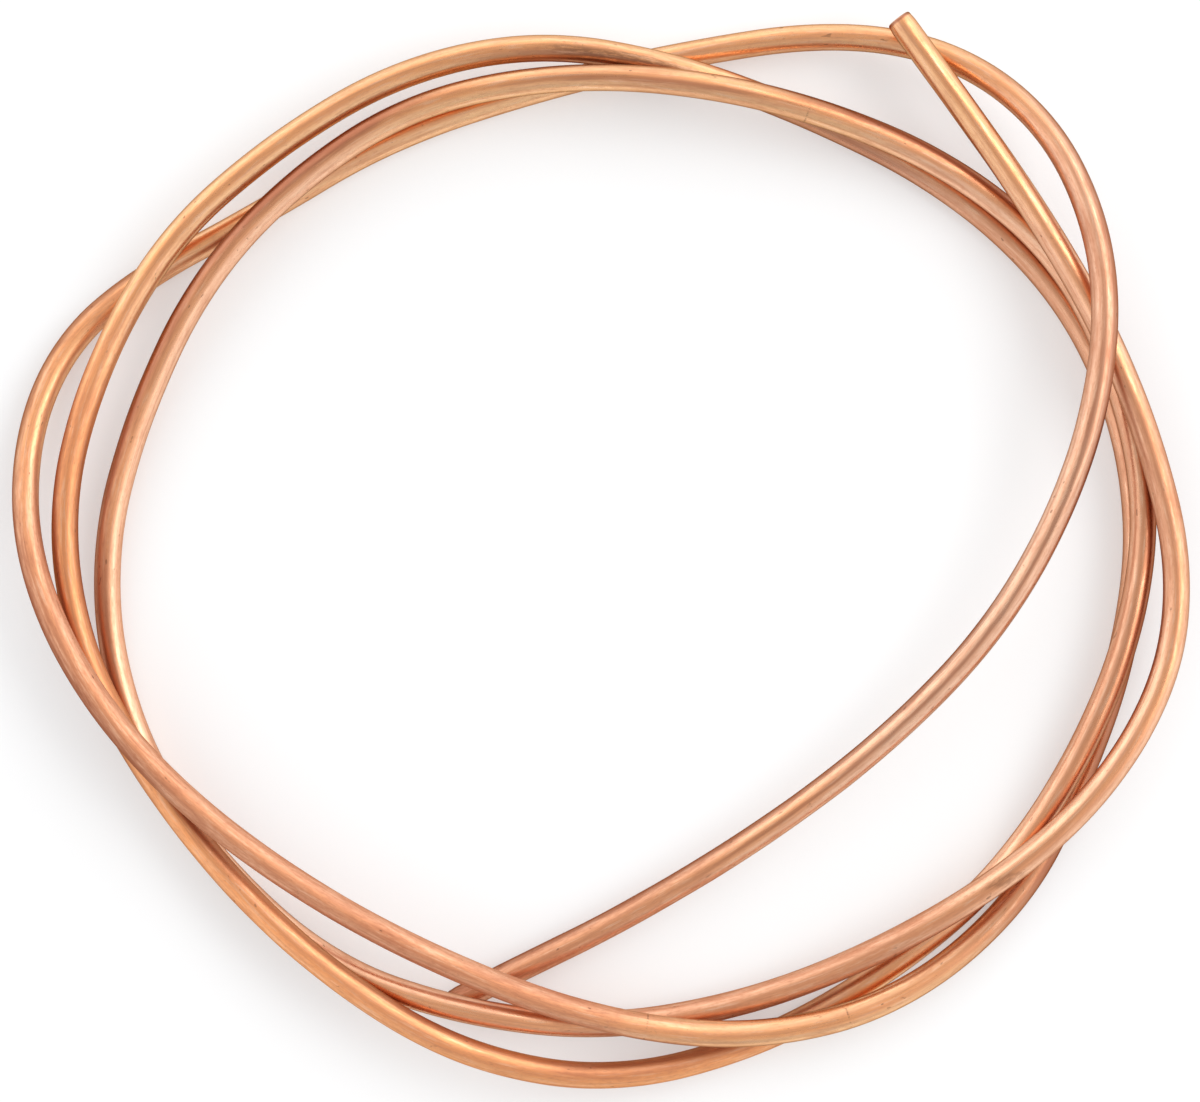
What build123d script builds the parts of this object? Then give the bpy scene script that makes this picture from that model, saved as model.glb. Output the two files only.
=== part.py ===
from build123d import *
import os
from math import pi, radians, tan

# Sizes are in millimetres. The coil lies flat on the floor, +Z up, with its middle over the origin.
tube_outside = 6.35
tube_wall = 0.76
rim_round = 0.4
crossing_gap = 0.3
bend_share = 0.45

tube_bore = tube_outside - 2 * tube_wall
layer_height = tube_outside + crossing_gap

# The route of the tube's centre line, as (x, y, layer). A strand in layer 0 lies on the floor, and one in
# layer 1 passes clear over it.
first_turn = [
    (71.1, 127, 2.1), (85.6, 107.5, 2.05), (103.4, 82.2, 2), (119, 56.2, 1.98), (131, 27.6, 1.98),
    (138.4, -1.8, 1.85), (136.2, -28.2, 1.75), (122.4, -54.2, 1.6), (99.6, -76.2, 1.4), (68.4, -95.4, 0.95),
    (35.6, -109, 0.3), (0.6, -114.8, 0.4), (-32.6, -110, 1.2), (-63.4, -100.6, 0.4), (-88.4, -80, 0.05),
    (-108.6, -53.6, 0), (-118.6, -25, 0), (-119.4, 4.4, 0.2), (-110.6, 34.6, 0.55), (-96, 64.4, 0.95),
]
second_turn = [
    (-74.8, 88, 1.05), (-46.4, 107.2, 1.1), (-13, 114.4, 1.3), (21.4, 112.6, 1.95), (55.6, 105.4, 1.35),
    (87.4, 91.6, 0.95), (111.8, 70.6, 0.92), (125.2, 42.6, 0.97), (132, 12, 1.02), (127.8, -19.8, 1.03),
    (114.2, -51.8, 0.95), (95.8, -79.8, 0.22), (68.8, -102.4, 0), (38.2, -119.4, 0.05), (3.2, -127.4, 0.7),
    (-31.8, -120.4, 1.45), (-62.2, -102.2, 1.6), (-88.8, -78.4, 1.15), (-109.6, -51.4, 1), (-125.2, -22.2, 0.95),
    (-129.6, 10.8, 0.95), (-121.4, 43.2, 1), (-104.2, 74.6, 1.05),
]
third_turn = [
    (-79.6, 96.8, 1.05), (-48.8, 115.6, 1.05), (-14.2, 123, 1.05), (20.8, 116.6, 1.05), (54.2, 104.8, 0.3),
    (86, 88.8, 0), (111.8, 64.8, 0), (126.2, 36.6, 0), (131.6, 5.8, 0), (127.2, -25.8, 0),
    (117.4, -53.8, 0), (102.2, -84.6, 0.15), (72, -108.4, 0.85), (35.8, -116.6, 1.2), (-1.4, -111.4, 1.5),
    (-37.8, -97.8, 1.55), (-71.4, -79.6, 1.7), (-102, -56, 2), (-123.8, -29.6, 2.05), (-136.8, -0.6, 1.5),
    (-138.2, 27.4, 0.6), (-129.4, 50.8, 0.1),
]
last_turn = [
    (-111, 66.8, 0), (-83.6, 81.4, 0), (-51.6, 100.6, 0), (-16.2, 112.6, 0), (19.8, 121, 0),
    (55.8, 126, 0.4), (85.2, 120.4, 1.1), (107, 102.4, 2.05), (118.2, 76, 2.85), (119.6, 48.2, 3.08),
    (113, 17.2, 2.45), (96.2, -16, 1.8), (70.4, -43.8, 1.3), (39.4, -67.8, 0.8), (5.2, -88.6, 0.35),
    (-18.9, -100.5, 0.05), (-35.4, -109, 0),
]
route = first_turn + second_turn + third_turn + last_turn

# Each bend is an arc as large as its two runs allow.
corners = [Vector(x, y, tube_outside / 2 + layer * layer_height) for x, y, layer in route]
runs = [end - start for start, end in zip(corners, corners[1:])]
bend_radii = []
for run_in, run_out in zip(runs, runs[1:]):
    half_turn = radians(run_in.get_angle(run_out)) / 2
    bend_radii.append(bend_share * min(run_in.length, run_out.length) / tan(half_turn))

# The tube is one drawn length, bent cold and cut square at both ends.
with BuildPart() as copper_tube:
    with BuildLine() as centre_line:
        FilletPolyline(*corners, radius=bend_radii)
    first_end = Plane(origin=corners[0], z_dir=runs[0])
    with BuildSketch(first_end):
        Circle(tube_outside / 2)
        Circle(tube_bore / 2, mode=Mode.SUBTRACT)
    sweep(path=centre_line.line)
    cut_faces = copper_tube.faces().filter_by(GeomType.PLANE)
    fillet([face.outer_wire().edges() for face in cut_faces], rim_round)

tube_length = centre_line.wire().length
section_area = pi / 4 * (tube_outside**2 - tube_bore**2)
print("bend radii", [round(radius) for radius in bend_radii])
print("tube length", round(tube_length), "volume", round(copper_tube.part.volume))
print("section times length", round(section_area * tube_length))

os.makedirs("parts", exist_ok=True)
copper_tube.part.label = "copper_tube"
export_step(copper_tube.part, "parts/copper_tube.step")
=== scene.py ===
"""Dresses a loose coil of bare copper tube, lying on a pale floor and seen from straight above."""

import logging
from bisect import bisect_right
from dataclasses import dataclass
from enum import Enum
from itertools import accumulate
from math import atan2, cos, pi, radians, sin, tau
from typing import Any

import bmesh
import bpy
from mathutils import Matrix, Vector, noise


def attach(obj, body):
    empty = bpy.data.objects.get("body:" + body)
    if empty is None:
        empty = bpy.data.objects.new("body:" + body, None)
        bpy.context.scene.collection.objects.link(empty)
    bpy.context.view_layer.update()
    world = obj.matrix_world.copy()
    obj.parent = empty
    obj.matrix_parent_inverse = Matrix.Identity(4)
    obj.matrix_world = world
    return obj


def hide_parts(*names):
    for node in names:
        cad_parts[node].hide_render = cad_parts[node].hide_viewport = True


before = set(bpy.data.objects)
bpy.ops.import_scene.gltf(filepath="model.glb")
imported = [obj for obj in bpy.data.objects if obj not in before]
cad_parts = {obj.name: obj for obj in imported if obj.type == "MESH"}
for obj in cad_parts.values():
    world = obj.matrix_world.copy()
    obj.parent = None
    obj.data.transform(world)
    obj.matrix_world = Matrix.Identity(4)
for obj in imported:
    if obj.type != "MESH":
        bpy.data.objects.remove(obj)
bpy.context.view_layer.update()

log = logging.getLogger("copper_tube_coil")

Colour = tuple[float, float, float, float]
# Where a run of the tube starts and ends, in metres from the tube's first end.
Run = tuple[float, float]
# The value that gives 0 and the value that gives 1.
Ramp = tuple[float, float]

MM = 0.001
WHITE: Colour = (1, 1, 1, 1)
# The attribute that keeps each point's place on the tube as if the tube were straight.
STRAIGHT = "straight"

# The tube's route as (x, y, layer), x and y in metres. A strand in layer 0 lies on the floor, and one in
# layer 1 passes clear over it.
FIRST_TURN = (
    (0.0711, 0.127, 2.1), (0.0856, 0.1075, 2.05), (0.1034, 0.0822, 2), (0.119, 0.0562, 1.98),
    (0.131, 0.0276, 1.98), (0.1384, -0.0018, 1.85), (0.1362, -0.0282, 1.75), (0.1224, -0.0542, 1.6),
    (0.0996, -0.0762, 1.4), (0.0684, -0.0954, 0.95), (0.0356, -0.109, 0.3), (0.0006, -0.1148, 0.4),
    (-0.0326, -0.11, 1.2), (-0.0634, -0.1006, 0.4), (-0.0884, -0.08, 0.05), (-0.1086, -0.0536, 0),
    (-0.1186, -0.025, 0), (-0.1194, 0.0044, 0.2), (-0.1106, 0.0346, 0.55), (-0.096, 0.0644, 0.95),
)
SECOND_TURN = (
    (-0.0748, 0.088, 1.05), (-0.0464, 0.1072, 1.1), (-0.013, 0.1144, 1.3), (0.0214, 0.1126, 1.95),
    (0.0556, 0.1054, 1.35), (0.0874, 0.0916, 0.95), (0.1118, 0.0706, 0.92), (0.1252, 0.0426, 0.97),
    (0.132, 0.012, 1.02), (0.1278, -0.0198, 1.03), (0.1142, -0.0518, 0.95), (0.0958, -0.0798, 0.22),
    (0.0688, -0.1024, 0), (0.0382, -0.1194, 0.05), (0.0032, -0.1274, 0.7), (-0.0318, -0.1204, 1.45),
    (-0.0622, -0.1022, 1.6), (-0.0888, -0.0784, 1.15), (-0.1096, -0.0514, 1), (-0.1252, -0.0222, 0.95),
    (-0.1296, 0.0108, 0.95), (-0.1214, 0.0432, 1), (-0.1042, 0.0746, 1.05),
)
THIRD_TURN = (
    (-0.0796, 0.0968, 1.05), (-0.0488, 0.1156, 1.05), (-0.0142, 0.123, 1.05), (0.0208, 0.1166, 1.05),
    (0.0542, 0.1048, 0.3), (0.086, 0.0888, 0), (0.1118, 0.0648, 0), (0.1262, 0.0366, 0),
    (0.1316, 0.0058, 0), (0.1272, -0.0258, 0), (0.1174, -0.0538, 0), (0.1022, -0.0846, 0.15),
    (0.072, -0.1084, 0.85), (0.0358, -0.1166, 1.2), (-0.0014, -0.1114, 1.5), (-0.0378, -0.0978, 1.55),
    (-0.0714, -0.0796, 1.7), (-0.102, -0.056, 2), (-0.1238, -0.0296, 2.05), (-0.1368, -0.0006, 1.5),
    (-0.1382, 0.0274, 0.6), (-0.1294, 0.0508, 0.1),
)
LAST_TURN = (
    (-0.111, 0.0668, 0), (-0.0836, 0.0814, 0), (-0.0516, 0.1006, 0), (-0.0162, 0.1126, 0),
    (0.0198, 0.121, 0), (0.0558, 0.126, 0.4), (0.0852, 0.1204, 1.1), (0.107, 0.1024, 2.05),
    (0.1182, 0.076, 2.85), (0.1196, 0.0482, 3.08), (0.113, 0.0172, 2.45), (0.0962, -0.016, 1.8),
    (0.0704, -0.0438, 1.3), (0.0394, -0.0678, 0.8), (0.0052, -0.0886, 0.35), (-0.0189, -0.1005, 0.05),
    (-0.0354, -0.109, 0),
)
ROUTE = FIRST_TURN + SECOND_TURN + THIRD_TURN + LAST_TURN


class Wire:
    """One value in a material's nodes. Arithmetic on it adds Math nodes."""

    def __init__(self, recipe: "Recipe", socket: bpy.types.NodeSocket) -> None:
        """Keeps the socket and the recipe it belongs to."""
        self.recipe = recipe
        self.socket = socket

    def _math(self, operation: str, first: Any, second: Any) -> "Wire":
        """Adds a Math node.

        Args:
            operation: the Math node's operation.
            first: the upper value.
            second: the lower value.

        Returns:
            The node's result.
        """
        return self.recipe.node("ShaderNodeMath", {"operation": operation}, {0: first, 1: second}).out(0)

    def __add__(self, other: Any) -> "Wire":
        """self + other"""
        return self._math("ADD", self, other)

    def __sub__(self, other: Any) -> "Wire":
        """self - other"""
        return self._math("SUBTRACT", self, other)

    def __mul__(self, other: Any) -> "Wire":
        """self * other"""
        return self._math("MULTIPLY", self, other)

    def __radd__(self, other: float) -> "Wire":
        """other + self"""
        return self._math("ADD", other, self)

    def __rsub__(self, other: float) -> "Wire":
        """other - self"""
        return self._math("SUBTRACT", other, self)

    def __rmul__(self, other: float) -> "Wire":
        """other * self"""
        return self._math("MULTIPLY", other, self)

    def __abs__(self) -> "Wire":
        """The size of self, whatever its sign."""
        return self._math("ABSOLUTE", self, 0.0)

    def ramp(self, low: float, high: float) -> "Wire":
        """Rises smoothly from 0 where self is low to 1 where it is high.

        Args:
            low: the value that gives 0.
            high: the value that gives 1, which may be the lower one.

        Returns:
            The eased share, from 0 to 1.
        """
        settings = {"interpolation_type": "SMOOTHSTEP", "clamp": True}
        sockets = {"Value": self, "From Min": low, "From Max": high}
        return self.recipe.node("ShaderNodeMapRange", settings, sockets).out("Result")


@dataclass(frozen=True)
class Laid:
    """A node in a recipe, with its results to hand."""

    recipe: "Recipe"
    node: bpy.types.Node

    def out(self, name: str | int) -> Wire:
        """One of the node's results."""
        return Wire(self.recipe, self.node.outputs[name])


class Recipe:
    """The node tree of one material or of the world."""

    def __init__(self, owner: bpy.types.ID) -> None:
        """Empties the owner's nodes, ready for new ones.

        Args:
            owner: the material or world that the nodes belong to.
        """
        owner.use_nodes = True
        self.tree = owner.node_tree
        self.tree.nodes.clear()

    def node(self, kind: str, settings: dict[str, Any], sockets: dict[str | int, Any]) -> Laid:
        """Adds one node.

        Args:
            kind: the node's type.
            settings: its properties, set first.
            sockets: values or wires for its inputs, by name or number.

        Returns:
            The node.
        """
        node = self.tree.nodes.new(kind)
        for name, value in settings.items():
            setattr(node, name, value)
        for name, value in sockets.items():
            if isinstance(value, Wire):
                self.tree.links.new(value.socket, node.inputs[name])
            else:
                node.inputs[name].default_value = value
        return Laid(self, node)

    def blend(self, share: Any, before: Any, after: Any) -> Wire:
        """Mixes two colours.

        Args:
            share: how much of the second colour shows.
            before: the first colour.
            after: the second colour.

        Returns:
            The mixed colour.
        """
        return self.node("ShaderNodeMix", {"data_type": "RGBA"}, {0: share, 6: before, 7: after}).out(2)

    def seen(self) -> Wire:
        """1 for what the camera sees, straight or in a shiny or clear surface, and 0 for other light."""
        rays = self.node("ShaderNodeLightPath", {}, {})
        return rays.out("Is Camera Ray") + rays.out("Is Glossy Ray") + rays.out("Is Transmission Ray")


@dataclass(frozen=True)
class Pattern:
    """A cloudy pattern on the tube, in features per metre across it and along it."""

    across: float
    along: float
    detail: float
    rough: float

    def lay(self, recipe: Recipe, place: Wire) -> Wire:
        """Lays the pattern on the straight tube.

        Args:
            recipe: the material's nodes.
            place: where on the straight tube.

        Returns:
            The pattern's value, about 0.5 on average.
        """
        stretch = (self.across, self.across, self.along)
        scaled = recipe.node("ShaderNodeVectorMath", {"operation": "MULTIPLY"}, {0: place, 1: stretch})
        sockets = {"Vector": scaled.out(0), "Scale": 1.0, "Detail": self.detail, "Roughness": self.rough}
        return recipe.node("ShaderNodeTexNoise", {"noise_dimensions": "3D"}, sockets).out(0)


class Texture(Enum):
    """The patterns in the copper's skin, from broad clouds and long bands to fine grain and specks."""

    CLOUD = Pattern(across=300, along=70, detail=4, rough=0.62)
    BAND = Pattern(across=430, along=16, detail=2, rough=0.5)
    STREAK = Pattern(across=1600, along=26, detail=3, rough=0.6)
    SMEAR = Pattern(across=1300, along=110, detail=3, rough=0.6)
    MOTTLE = Pattern(across=2100, along=560, detail=3, rough=0.65)
    GRAIN = Pattern(across=3800, along=900, detail=2, rough=0.6)
    SPOT = Pattern(across=1150, along=520, detail=1, rough=0.4)


# How strong each of some textures is.
Weights = tuple[tuple[Texture, float], ...]


@dataclass(frozen=True)
class Skin:
    """What the finish reads at each point of the tube.

    Along is the distance from the first end. Sideways is -1 on the flank inside the coil, 0 on the crown
    and 1 on the flank outside the coil.
    """

    along: Wire
    sideways: Wire
    textures: dict[Texture, Wire]

    def mixed(self, weights: Weights) -> Wire:
        """Adds up some of the textures.

        Args:
            weights: how strong each texture is.

        Returns:
            Their sum, about 0 on average.
        """
        parts = [weight * (self.textures[texture] - 0.5) for texture, weight in weights]
        return sum(parts[1:], parts[0])

    def on(self, runs: tuple[Run, ...], fade: float = 20 * MM) -> Wire:
        """Marks some runs of the tube.

        Args:
            runs: where each run starts and ends.
            fade: how far the mark fades on either side of a run's end.

        Returns:
            1 on the runs and 0 elsewhere.
        """
        marks = [
            self.along.ramp(start - fade, start + fade) * self.along.ramp(end + fade, end - fade)
            for start, end in runs
        ]
        return sum(marks[1:], marks[0])


ROSY: Colour = (0.98, 0.58, 0.40, 1)
GOLDEN: Colour = (0.99, 0.585, 0.29, 1)
# Amber is both the amber runs' own tone and the painted reflection along the crown.
AMBER_TONE_AND_REFLECTION: Colour = (0.96, 0.385, 0.15, 1)
ASHEN: Colour = (0.85, 0.60, 0.47, 1)
# Pale is both the pale smears in the copper and the painted highlight inside each cut rim.
PALE_TONE_AND_HIGHLIGHT: Colour = (1.0, 0.68, 0.48, 1)
TARNISH: Colour = (0.59, 0.26, 0.145, 1)
# Umber is both the tarnish of the thin lines and the painted shade along the flanks.
UMBER_SHADE_AND_TARNISH: Colour = (0.36, 0.125, 0.07, 1)
BURR: Colour = (0.30, 0.10, 0.07, 1)
SPECK: Colour = (0.20, 0.09, 0.055, 1)


class Flank(Enum):
    """A side of the tube as it lies in the coil."""

    OUTER = 1
    INNER = -1


@dataclass(frozen=True)
class Tint:
    """A run that leans towards another colour by a share."""

    run: Run
    share: float


@dataclass(frozen=True)
class Wash:
    """A thin wash of colour through a texture, which may be stronger on the dull runs."""

    texture: Texture
    colour: Colour
    shows: Ramp
    share: float
    where_dull: float = 0.0


@dataclass(frozen=True)
class PaintedShadeFlank:
    """Painted shade along one flank of a run, from reach outwards: 0 is the crown and 1 the flank's edge."""

    run: Run
    flank: Flank
    reach: float
    share: float


@dataclass(frozen=True)
class DarkLine:
    """A thin line of tarnish along a run, with its middle to one side of the crown."""

    run: Run
    middle: float


@dataclass(frozen=True)
class Smudge:
    """A dark smudge: its place along the tube, its reach each way, and its middle across the tube."""

    along: float
    reach: float
    middle: float
    share: float


@dataclass(frozen=True)
class DrawnCopper:
    """Bare soft copper as it comes from the drawing bench: satin, streaked along its length, a little marked.

    Runs, rings and smudges are placed in metres from the tube's first end. Some flanks carry painted shade,
    the crown a painted reflection and each cut rim a painted highlight.
    """

    # The way across the straight tube that faces out of the coil once it is bent.
    outward: tuple[float, float, float] = (0.802, 0.597, 0)
    # What makes the edges of stains, of the painted shade and of the crown's painted reflection wander across
    # the tube.
    wander: Weights = ((Texture.BAND, 0.5), (Texture.SMEAR, 0.4))

    golden_runs: tuple[Run, ...] = ((-0.1, 0.05), (0.65, 0.78), (1.02, 1.55), (1.78, 1.88), (2.09, 2.37))
    golden_everywhere: float = 0.2
    golden_on_runs: float = 0.6
    amber_runs: tuple[Tint, ...] = (Tint((1.05, 1.24), 0.55), Tint((1.24, 1.34), 0.80))
    # Painted reflection: the crown darkens towards amber where it would reflect the dim overhead.
    painted_crown_reflection: Ramp = (0.62, 0.15)
    crown_reflection_share: float = 0.7
    ashen_runs: tuple[Run, ...] = ((2.39, 2.56),)
    ashen_share: float = 0.45
    dull_runs: tuple[Run, ...] = ((0.10, 0.16), (0.25, 0.34), (1.88, 2.08), (2.40, 2.46), (2.60, 2.72))
    dull_share: float = 0.50
    dark_runs: tuple[Run, ...] = ((0.84, 0.97), (1.58, 1.80))
    dark_share: float = 0.55
    washes: tuple[Wash, ...] = (
        Wash(Texture.CLOUD, TARNISH, shows=(0.46, 0.78), share=0.35, where_dull=0.25),
        Wash(Texture.BAND, TARNISH, shows=(0.48, 0.70), share=0.40),
        Wash(Texture.SMEAR, TARNISH, shows=(0.48, 0.68), share=0.32, where_dull=0.25),
        Wash(Texture.SMEAR, PALE_TONE_AND_HIGHLIGHT, shows=(0.50, 0.30), share=0.40),
        Wash(Texture.STREAK, TARNISH, shows=(0.48, 0.70), share=0.38),
        Wash(Texture.MOTTLE, TARNISH, shows=(0.46, 0.70), share=0.32, where_dull=0.15),
    )

    # Painted shade: darker brown along flanks that lie beside other strands, standing in for their dark
    # reflections and the shaded floor between them.
    painted_shade_flanks: tuple[PaintedShadeFlank, ...] = (
        PaintedShadeFlank((-0.10, 0.13), Flank.INNER, reach=0.05, share=0.20),
        PaintedShadeFlank((0.40, 0.53), Flank.OUTER, reach=-0.70, share=0.75),
        PaintedShadeFlank((0.53, 0.60), Flank.OUTER, reach=-0.25, share=0.80),
        PaintedShadeFlank((0.60, 0.67), Flank.OUTER, reach=-0.35, share=0.90),
        PaintedShadeFlank((0.75, 0.94), Flank.OUTER, reach=-0.25, share=0.85),
        PaintedShadeFlank((1.03, 1.12), Flank.INNER, reach=-0.35, share=0.55),
        PaintedShadeFlank((1.13, 1.19), Flank.INNER, reach=0.35, share=0.60),
        PaintedShadeFlank((1.20, 1.24), Flank.INNER, reach=-0.15, share=0.70),
        PaintedShadeFlank((1.24, 1.32), Flank.INNER, reach=-0.45, share=0.30),
        PaintedShadeFlank((1.24, 1.33), Flank.OUTER, reach=0.0, share=0.70),
        PaintedShadeFlank((1.46, 1.58), Flank.INNER, reach=-0.10, share=0.65),
        PaintedShadeFlank((1.60, 1.78), Flank.OUTER, reach=-0.20, share=0.80),
        PaintedShadeFlank((2.00, 2.16), Flank.OUTER, reach=0.20, share=0.75),
        PaintedShadeFlank((2.30, 2.42), Flank.INNER, reach=0.05, share=0.30),
        PaintedShadeFlank((2.37, 2.48), Flank.OUTER, reach=0.15, share=0.55),
        PaintedShadeFlank((2.50, 2.70), Flank.INNER, reach=0.30, share=0.80),
    )
    shade_flank_fade: float = 0.65
    dark_lines: tuple[DarkLine, ...] = (DarkLine((0.69, 0.76), -0.10), DarkLine((2.44, 2.60), 0.05))
    line_width: Ramp = (0.24, 0.06)
    line_share: float = 0.45
    smudges: tuple[Smudge, ...] = (
        Smudge(0.237, reach=4.5 * MM, middle=0.1, share=0.42),
        Smudge(1.496, reach=24 * MM, middle=-0.4, share=0.60),
    )
    smudge_slant: float = 5 * MM
    smudge_core: float = 0.4
    smudge_width: Ramp = (0.75, 0.25)
    smudge_breaks: Weights = ((Texture.MOTTLE, 1), (Texture.SMEAR, 1))
    smudge_shows: Ramp = (-0.3, 0.1)

    burr_width: Ramp = (1.1 * MM, 0.5 * MM)
    burr_share: float = 0.75
    # Painted highlight: a pale band just inside each cut rim, where its rounded edge would catch the light.
    painted_rim_highlight: Ramp = (0.3 * MM, 0.1 * MM)
    rim_highlight_share: float = 0.5
    spot_shows: Ramp = (0.72, 0.79)
    spot_places: Ramp = (0.40, 0.60)
    rings: tuple[float, ...] = (0.759, 1.827, 1.876)
    ring_width: Ramp = (0.35 * MM, 0.05 * MM)
    ring_shows: Ramp = (0.2, 0.36)
    mark_share: float = 0.65

    satin: float = 0.30
    rougher_where_dull: float = 0.12
    matt_runs: tuple[Run, ...] = ((0.48, 0.56), (1.04, 1.36), (1.87, 2.16))
    rougher_where_matt: float = 0.16
    rough_clouds: Ramp = (0.45, 0.75)
    rougher_in_clouds: float = 0.12
    roughness: Weights = (
        (Texture.BAND, 0.2), (Texture.SMEAR, 0.2), (Texture.MOTTLE, 0.2), (Texture.GRAIN, 0.1),
    )
    relief: Weights = (
        (Texture.STREAK, 0.6), (Texture.SMEAR, 0.8), (Texture.MOTTLE, 1.0), (Texture.GRAIN, 0.3),
    )
    relief_depth: float = 0.03 * MM
    relief_strength: float = 0.35
    edge: Colour = (0.3, 0.22, 0.18, 1)

    def material(self, length: float, outside: float) -> bpy.types.Material:
        """Makes the finish.

        Args:
            length: the tube's length.
            outside: the tube's diameter.

        Returns:
            The material, which reads each point's place on the tube as if it were straight.
        """
        made = bpy.data.materials.new("drawn_copper")
        recipe = Recipe(made)
        skin = self.read(recipe, outside)
        marks = self.marks(skin)
        colour = self.paint_shade_and_stains(recipe, skin, self.copper(recipe, skin))
        for rim in (0, length):
            from_rim = abs(skin.along - rim)
            colour = recipe.blend(self.burr_share * from_rim.ramp(*self.burr_width), colour, BURR)
            # Painted highlight: a pale band just inside the rim.
            colour = recipe.blend(self.rim_highlight_share * from_rim.ramp(*self.painted_rim_highlight), colour, PALE_TONE_AND_HIGHLIGHT)
        colour = recipe.blend(self.mark_share * marks, colour, SPECK)

        height = skin.mixed(self.relief) - marks
        bumps = {"Strength": self.relief_strength, "Distance": self.relief_depth, "Height": height}
        sockets = {
            "Base Color": colour,
            "Metallic": 1.0,
            "Roughness": self.rough(skin),
            "Normal": recipe.node("ShaderNodeBump", {}, bumps).out(0),
            "Specular Tint": self.edge,
        }
        shader = recipe.node("ShaderNodeBsdfPrincipled", {}, sockets)
        recipe.node("ShaderNodeOutputMaterial", {}, {"Surface": shader.out(0)})
        return made

    def read(self, recipe: Recipe, outside: float) -> Skin:
        """Reads where each point is on the straight tube, and lays the textures there.

        Args:
            recipe: the material's nodes.
            outside: the tube's diameter.

        Returns:
            What the finish reads at each point.
        """
        place = recipe.node("ShaderNodeAttribute", {"attribute_name": STRAIGHT}, {}).out("Vector")
        along = recipe.node("ShaderNodeSeparateXYZ", {}, {0: place}).out("Z")
        sockets = {0: place, 1: self.outward}
        across = recipe.node("ShaderNodeVectorMath", {"operation": "DOT_PRODUCT"}, sockets).out("Value")
        textures = {texture: texture.value.lay(recipe, place) for texture in Texture}
        return Skin(along, across * (2 / outside), textures)

    def copper(self, recipe: Recipe, skin: Skin) -> Wire:
        """Colours the bare copper: rosy, golden and amber runs, a painted reflection along the crown, dull
        and dark ones, and washes of tarnish.

        Args:
            recipe: the material's nodes.
            skin: what the finish reads at each point.

        Returns:
            The colour.
        """
        golden = self.golden_everywhere + self.golden_on_runs * skin.on(self.golden_runs)
        colour = recipe.blend(golden, ROSY, GOLDEN)
        for tint in self.amber_runs:
            colour = recipe.blend(tint.share * skin.on((tint.run,)), colour, AMBER_TONE_AND_REFLECTION)
        # Painted reflection: a darker amber band along the crown, standing in for the dim overhead it
        # reflects.
        crown = (abs(skin.sideways) + skin.mixed(self.wander)).ramp(*self.painted_crown_reflection)
        colour = recipe.blend(self.crown_reflection_share * crown, colour, AMBER_TONE_AND_REFLECTION)
        colour = recipe.blend(self.ashen_share * skin.on(self.ashen_runs), colour, ASHEN)
        dull = skin.on(self.dull_runs)
        dark = skin.on(self.dark_runs)
        colour = recipe.blend(self.dull_share * dull + self.dark_share * dark, colour, TARNISH)
        for wash in self.washes:
            share = wash.share + wash.where_dull * dull
            colour = recipe.blend(share * skin.textures[wash.texture].ramp(*wash.shows), colour, wash.colour)
        return colour

    def paint_shade_and_stains(self, recipe: Recipe, skin: Skin, colour: Wire) -> Wire:
        """Darkens the copper with painted shade along its flanks, and with stains in thin lines and in
        smudges.

        Args:
            recipe: the material's nodes.
            skin: what the finish reads at each point.
            colour: the copper's colour.

        Returns:
            The stained colour.
        """
        wander = skin.mixed(self.wander)
        # Painted shade along the flanks that lie beside other strands.
        for shade_flank in self.painted_shade_flanks:
            side = shade_flank.flank.value * skin.sideways + wander
            shows = side.ramp(shade_flank.reach, shade_flank.reach + self.shade_flank_fade)
            colour = recipe.blend(shade_flank.share * shows * skin.on((shade_flank.run,)), colour, UMBER_SHADE_AND_TARNISH)
        for line in self.dark_lines:
            shows = abs(skin.sideways + wander - line.middle).ramp(*self.line_width)
            colour = recipe.blend(self.line_share * shows * skin.on((line.run,)), colour, UMBER_SHADE_AND_TARNISH)
        broken = skin.mixed(self.smudge_breaks).ramp(*self.smudge_shows)
        for smudge in self.smudges:
            away = abs(skin.along + self.smudge_slant * skin.sideways - smudge.along)
            aside = abs(skin.sideways + wander - smudge.middle)
            shows = away.ramp(smudge.reach, self.smudge_core * smudge.reach) * aside.ramp(*self.smudge_width)
            colour = recipe.blend(smudge.share * shows * broken, colour, SPECK)
        return colour

    def marks(self, skin: Skin) -> Wire:
        """Finds the small dark marks: specks, and fine scratches that run part of the way round the tube.

        Args:
            skin: what the finish reads at each point.

        Returns:
            1 on the marks and 0 elsewhere.
        """
        textures = skin.textures
        places = textures[Texture.CLOUD].ramp(*self.spot_places)
        marks = textures[Texture.SPOT].ramp(*self.spot_shows) * places
        broken = (textures[Texture.BAND] * textures[Texture.GRAIN]).ramp(*self.ring_shows)
        for ring in self.rings:
            marks = marks + abs(skin.along - ring).ramp(*self.ring_width) * broken
        return marks

    def rough(self, skin: Skin) -> Wire:
        """Sets how satin or matt the copper is.

        Args:
            skin: what the finish reads at each point.

        Returns:
            The roughness.
        """
        rough = self.satin + self.rougher_where_dull * skin.on(self.dull_runs)
        rough = rough + self.rougher_where_matt * skin.on(self.matt_runs)
        rough = rough + self.rougher_in_clouds * skin.textures[Texture.CLOUD].ramp(*self.rough_clouds)
        return rough + skin.mixed(self.roughness)


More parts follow.
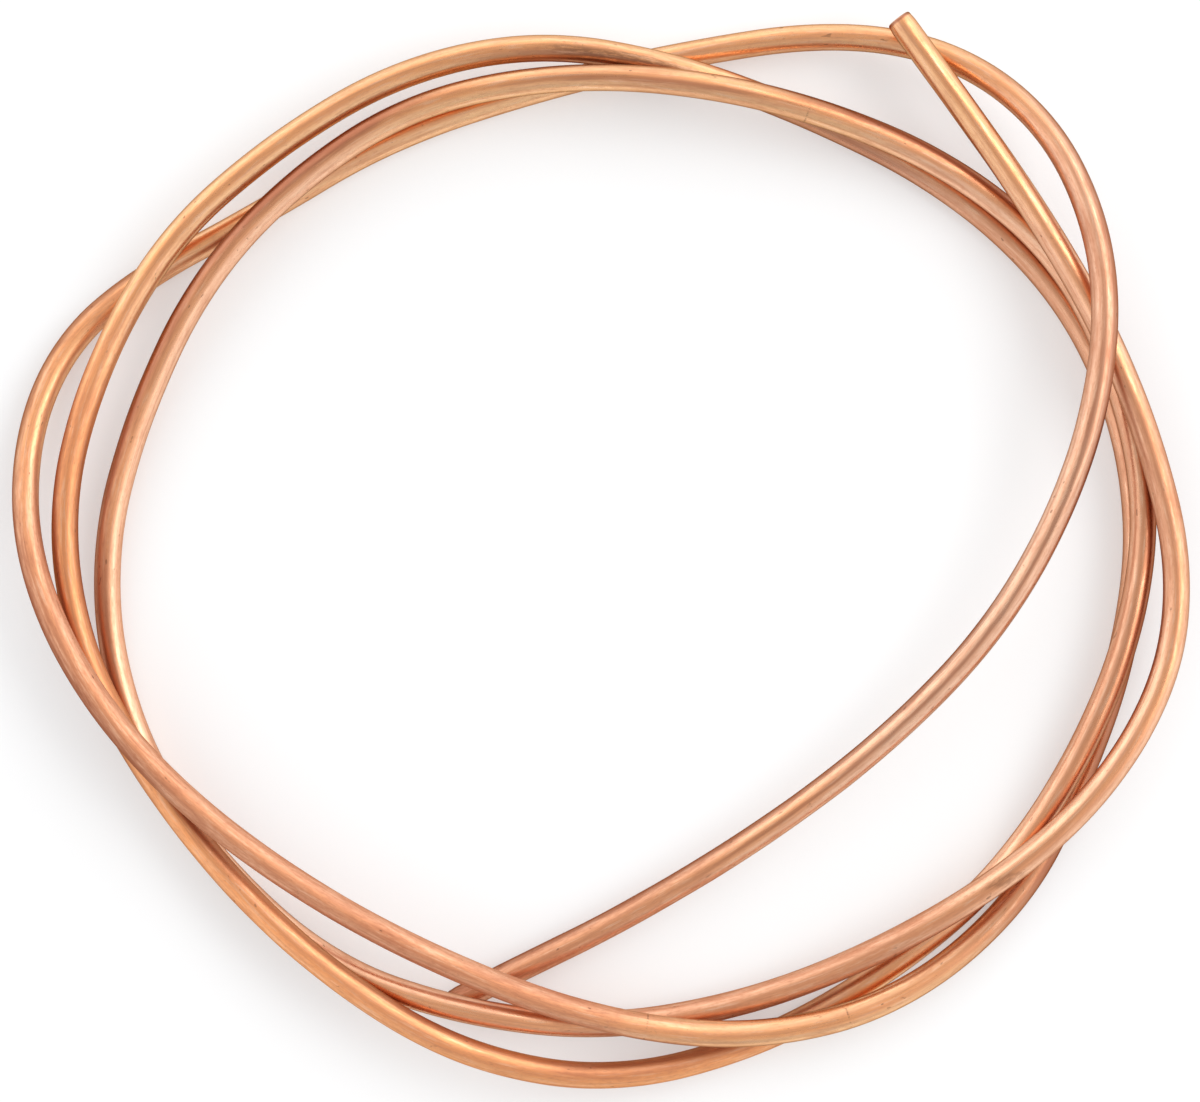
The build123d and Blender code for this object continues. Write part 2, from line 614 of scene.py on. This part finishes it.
@dataclass
class CopperTube:
    """The coil itself: one hollow length of tube along its route."""

    outside: float = 6.35 * MM
    wall: float = 0.76 * MM
    rim_round: float = 0.55 * MM
    rim_segments: int = 5
    bore_edge: float = 0.1 * MM
    bore_edge_segments: int = 2
    crossing_gap: float = 0.3 * MM
    unevenness: float = 0.06 * MM
    swells_across: float = 240.0
    swells_along: float = 75.0
    turned_in: float = 0.1
    turned_length: float = 2 * MM
    sides: int = 32
    rings: int = 1307
    bore_rings: int = 420
    steps_per_point: int = 32
    # The map's rows and margins, and where the cut ends lie on it.
    map_rows: int = 12
    map_margin: float = 0.004
    row_margin: float = 0.04
    end_slope: float = 0.3
    end_places: tuple[float, float] = (0.1, 0.3)
    end_width: float = 0.06
    end_height: float = 0.9
    finish: DrawnCopper = DrawnCopper()

    @property
    def mid_wall(self) -> float:
        """The radius of the middle of the wall, between the skin and the bore."""
        return (self.outside - self.wall) / 2

    def centre_line(self) -> list[Vector]:
        """Reads the tube's smooth middle line.

        Returns:
            Points along a NURBS curve that has the route as its control points.
        """
        curve = bpy.data.curves.new("tube_line", "CURVE")
        curve.dimensions = "3D"
        curve.resolution_u = self.steps_per_point
        spline = curve.splines.new("NURBS")
        spline.points.add(len(ROUTE) - 1)
        for point, (x, y, layer) in zip(spline.points, ROUTE):
            point.co = (x, y, self.outside / 2 + layer * (self.outside + self.crossing_gap), 1)
        spline.order_u = 3
        spline.use_endpoint_u = True
        holder = bpy.data.objects.new("tube_line", curve)
        mesh = bpy.data.meshes.new_from_object(holder)
        line = [vertex.co.copy() for vertex in mesh.vertices]
        bpy.data.meshes.remove(mesh)
        bpy.data.objects.remove(holder)
        bpy.data.curves.remove(curve)
        return line

    def straight_tube(self, length: float) -> bmesh.types.BMesh:
        """Draws the tube straight, standing on its first end, with its bore and its two cut rims.

        Args:
            length: the tube's length.

        Returns:
            The straight tube, in enough rings to bend.
        """
        bm = bmesh.new()
        rims = []
        for radius in (self.outside / 2, self.outside / 2 - self.wall):
            bmesh.ops.create_circle(bm, segments=self.sides, radius=radius)
            near = [edge for edge in bm.edges if edge.is_wire]
            made = bmesh.ops.extrude_edge_only(bm, edges=near)["geom"]
            top = {item for item in made if isinstance(item, bmesh.types.BMVert)}
            bmesh.ops.translate(bm, vec=(0, 0, length), verts=list(top))
            far = [edge for edge in bm.edges if edge.is_boundary and set(edge.verts) <= top]
            rims.append((near, far))
        for outer, inner in zip(*rims):
            bmesh.ops.bridge_loops(bm, edges=outer + inner)
        bmesh.ops.recalc_face_normals(bm, faces=bm.faces[:])
        rounds = ((self.rim_round, self.rim_segments), (self.bore_edge, self.bore_edge_segments))
        for (near, far), (size, segments) in zip(rims, rounds):
            bmesh.ops.bevel(
                bm, geom=near + far, offset=size, offset_type="OFFSET", affect="EDGES",
                segments=segments, profile=0.5, material=-1, clamp_overlap=True,
            )
        runs = [edge for edge in bm.edges if edge.calc_length() > length / 2]
        skin = [edge for edge in runs if edge.verts[0].co.xy.length > self.mid_wall]
        bore = [edge for edge in runs if edge.verts[0].co.xy.length < self.mid_wall]
        for edges, rings in ((skin, self.rings), (bore, self.bore_rings)):
            bmesh.ops.subdivide_edges(bm, edges=edges, cuts=rings, use_grid_fill=False)
        return bm

    def lay_map(self, bm: bmesh.types.BMesh, length: float) -> None:
        """Lays the straight tube out flat for baking: its skin in rows, then its bore, then its cut ends.

        Args:
            bm: the straight tube.
            length: its length.
        """
        layer = bm.loops.layers.uv.new("OFBake")
        row_height = 1 / (self.map_rows + 2)
        row_length = length / self.map_rows
        bm.normal_update()
        for face in bm.faces:
            middle = face.calc_center_median()
            around = atan2(middle.y, middle.x)
            for loop in face.loops:
                spot = loop.vert.co
                turned = (atan2(spot.y, spot.x) - around + pi) % tau - pi
                up = self.row_margin + (1 - 2 * self.row_margin) * (0.5 + (around + turned) / tau)
                if abs(face.normal.z) > self.end_slope:
                    row = self.map_rows + 1
                    along = self.end_places[middle.z > length / 2] + spot.x / self.outside * self.end_width
                    up = 0.5 + spot.y / self.outside * self.end_height
                elif middle.xy.length < self.mid_wall:
                    row = self.map_rows
                    along = spot.z / length
                else:
                    row = min(int(middle.z / row_length), self.map_rows - 1)
                    along = spot.z / row_length - row
                along = self.map_margin + (1 - 2 * self.map_margin) * along
                loop[layer].uv = (along, (row + up) * row_height)

    def bend(self, bm: bmesh.types.BMesh, line: list[Vector], reach: list[float]) -> None:
        """Bends the straight tube along its route, its ends turned in a little as the cutter leaves them.

        Each point's straight place is kept as an attribute.

        Args:
            bm: the straight tube.
            line: points along the middle line.
            reach: each point's distance from the first end.
        """
        headings = [(b - a).normalized() for a, b in zip([line[0], *line[:-1]], [*line[1:], line[-1]])]
        turn = Vector((0, 0, 1)).rotation_difference(headings[0])
        turns = [turn]
        for before, after in zip(headings, headings[1:]):
            turn = before.rotation_difference(after) @ turn
            turns.append(turn)
        straight = bm.verts.layers.float_vector.new(STRAIGHT)
        swells = Vector((self.swells_across, self.swells_across, self.swells_along))
        for vertex in bm.verts:
            vertex[straight] = vertex.co
            i = min(max(bisect_right(reach, vertex.co.z) - 1, 0), len(line) - 2)
            part = (vertex.co.z - reach[i]) / (reach[i + 1] - reach[i])
            across = Vector((vertex.co.x, vertex.co.y, 0))
            across.length += self.unevenness * noise.noise(vertex.co * swells)
            inside_end = min(vertex.co.z, reach[-1] - vertex.co.z)
            across *= 1 - self.turned_in * max(0.0, 1 - inside_end / self.turned_length) ** 2
            vertex.co = line[i].lerp(line[i + 1], part) + turns[i].slerp(turns[i + 1], part) @ across

    def build(self) -> bpy.types.Object:
        """Builds the tube and bends it into its coil.

        Returns:
            The finished piece, dressed and riding on the root body.
        """
        line = self.centre_line()
        reach = list(accumulate(((b - a).length for a, b in zip(line, line[1:])), initial=0.0))
        length = reach[-1]
        bm = self.straight_tube(length)
        self.lay_map(bm, length)
        self.bend(bm, line, reach)
        for face in bm.faces:
            face.smooth = True
        mesh = bpy.data.meshes.new("copper_tube_coil")
        bm.to_mesh(mesh)
        bm.free()
        piece = bpy.data.objects.new("copper_tube_coil", mesh)
        bpy.context.scene.collection.objects.link(piece)
        self.dress(piece, length)
        return piece

    def dress(self, piece: bpy.types.Object, length: float) -> None:
        """Gives the tube its finish and lets it stand for the plain solid.

        Args:
            piece: the tube.
            length: its length.
        """
        piece.data.materials.append(self.finish.material(length, self.outside))
        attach(piece, "root")
        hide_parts("copper_tube")


@dataclass(frozen=True)
class PaleFloor:
    """A matt pale floor that looks nearly white and still keeps the coil's shadow."""

    colour: Colour = (0.585, 0.59, 0.595, 1)
    glow: float = 0.36

    def material(self) -> bpy.types.Material:
        """Makes the finish.

        Returns:
            The material, with a glow that only the camera and shiny or clear surfaces see.
        """
        made = bpy.data.materials.new("pale_floor")
        recipe = Recipe(made)
        matt = recipe.node("ShaderNodeBsdfDiffuse", {}, {"Color": self.colour})
        glow = recipe.node("ShaderNodeEmission", {}, {"Color": WHITE, "Strength": self.glow * recipe.seen()})
        both = recipe.node("ShaderNodeAddShader", {}, {0: matt.out(0), 1: glow.out(0)})
        recipe.node("ShaderNodeOutputMaterial", {}, {"Surface": both.out(0)})
        return made


@dataclass(frozen=True)
class SoftLamp:
    """One large soft lamp, at angles in degrees round the coil and up from the floor."""

    around: float = 20.0
    height: float = 50.0
    distance: float = 0.9
    width: float = 0.9
    depth: float = 0.36
    watts: float = 2.4

    def build(self) -> bpy.types.Object:
        """Places the lamp, facing the coil's middle.

        Returns:
            The lamp.
        """
        lamp = bpy.data.lights.new("soft_lamp_right", "AREA")
        lamp.shape = "RECTANGLE"
        lamp.size = self.width
        lamp.size_y = self.depth
        lamp.energy = self.watts
        piece = bpy.data.objects.new("soft_lamp_right", lamp)
        bpy.context.scene.collection.objects.link(piece)
        around, up = radians(self.around), radians(self.height)
        place = Vector((cos(around) * cos(up), sin(around) * cos(up), sin(up))) * self.distance
        piece.location = place
        piece.rotation_euler = place.to_track_quat("Z", "Y").to_euler()
        piece.visible_camera = False
        return piece


@dataclass
class Studio:
    """The pale floor, the soft light and the camera straight above."""

    camera_place: tuple[float, float, float] = (0.36 * MM, 0.64 * MM, 650 * MM)
    lens: float = 80.0
    sensor: float = 36.0
    floor_size: float = 12.0
    floor_finish: PaleFloor = PaleFloor()
    lamp: SoftLamp = SoftLamp()
    overhead: float = 0.62
    ring: float = 0.38
    ring_foot: Ramp = (-0.10, 0.15)
    ring_top: Ramp = (0.99, 0.64)
    from_sides: float = 0.46
    from_far: float = 0.48
    white_below: Ramp = (0.12, 0.0)

    def camera(self) -> bpy.types.Object:
        """Sets the camera straight above the coil, as in the photograph.

        Returns:
            The camera.
        """
        lens = bpy.data.cameras.new("camera")
        lens.sensor_width = self.sensor
        lens.lens = self.lens
        piece = bpy.data.objects.new("camera", lens)
        piece.location = self.camera_place
        bpy.context.scene.collection.objects.link(piece)
        bpy.context.scene.camera = piece
        return piece

    def floor(self) -> bpy.types.Object:
        """Lays the floor.

        Returns:
            The floor.
        """
        bm = bmesh.new()
        bmesh.ops.create_grid(bm, x_segments=1, y_segments=1, size=self.floor_size / 2)
        mesh = bpy.data.meshes.new("floor")
        bm.to_mesh(mesh)
        bm.free()
        mesh.materials.append(self.floor_finish.material())
        piece = bpy.data.objects.new("floor", mesh)
        bpy.context.scene.collection.objects.link(piece)
        return piece

    def world(self) -> None:
        """Fills the room with soft light, brightest in a ring round the coil, and white past the floor."""
        made = bpy.data.worlds.new("studio")
        bpy.context.scene.world = made
        recipe = Recipe(made)
        way = recipe.node("ShaderNodeTexCoord", {}, {}).out("Generated")
        parts = recipe.node("ShaderNodeSeparateXYZ", {}, {0: way})
        right, far, up = parts.out("X"), parts.out("Y"), parts.out("Z")
        ring = up.ramp(*self.ring_foot) * up.ramp(*self.ring_top)
        light = self.overhead + ring * (self.ring + self.from_sides * abs(right) + self.from_far * far)
        strength = light + recipe.seen() * up.ramp(*self.white_below) * (1 - light)
        shine = recipe.node("ShaderNodeBackground", {}, {"Color": WHITE, "Strength": strength})
        recipe.node("ShaderNodeOutputWorld", {}, {"Surface": shine.out(0)})

    def build(self) -> list[bpy.types.Object]:
        """Sets up everything round the coil.

        Returns:
            The camera, the floor and the lamp.
        """
        pieces = [self.camera(), self.floor(), self.lamp.build()]
        self.world()
        bpy.context.scene.view_settings.view_transform = "Standard"
        return pieces


def main() -> None:
    """Builds the coil and its studio."""
    logging.basicConfig(level=logging.INFO)
    for piece in (*Studio().build(), CopperTube().build()):
        log.info("%s is in place", piece.name)


if __name__ == "__main__":
    main()
